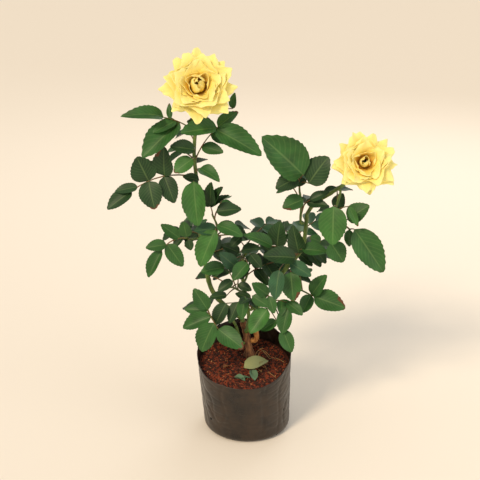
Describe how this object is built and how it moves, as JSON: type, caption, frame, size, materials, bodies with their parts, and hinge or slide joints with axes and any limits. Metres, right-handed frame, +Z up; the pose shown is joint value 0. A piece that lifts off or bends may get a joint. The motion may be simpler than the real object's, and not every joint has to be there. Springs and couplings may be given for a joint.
{
  "type": "rose bush in a nursery bag",
  "caption": "Young yellow rose bush with branching green canes, compound leaves and open double blooms, growing in a soft black nursery bag filled with growing medium.",
  "frame": {"origin": "centre of the nursery bag's flat underside", "axes": "+Z up, -Y towards the viewer in the picture, so the front of the plant looks along -Y and +X is to the right in the picture"},
  "size_m": [0.358, 0.192, 0.516],
  "materials": {
    "bag_film": "satin",
    "growing_medium": "matte, granular",
    "bark": "matte",
    "cane": "satin",
    "foliage": "satin",
    "petal": "matte"
  },
  "bodies": {
    "root": {"nursery_bag": "bag_film", "growing_medium": "growing_medium", "woody_stem": "bark", "sawn_stub": "bark", "left_cane": "cane", "right_cane": "cane", "centre_cane": "cane", "green_shoot": "cane", "right_flower_stem": "cane", "left_rose": "petal", "right_rose": "petal", "upper_left_foliage": "foliage", "middle_left_foliage": "foliage", "left_spray_foliage": "foliage", "centre_top_foliage": "foliage", "centre_low_foliage": "foliage", "upper_right_foliage": "foliage", "right_end_foliage": "foliage", "centre_right_foliage": "foliage", "low_right_foliage": "foliage", "low_front_foliage": "foliage", "low_left_foliage": "foliage", "back_left_foliage": "foliage", "back_centre_foliage": "foliage", "back_right_foliage": "foliage"}
  },
  "joints": []
}
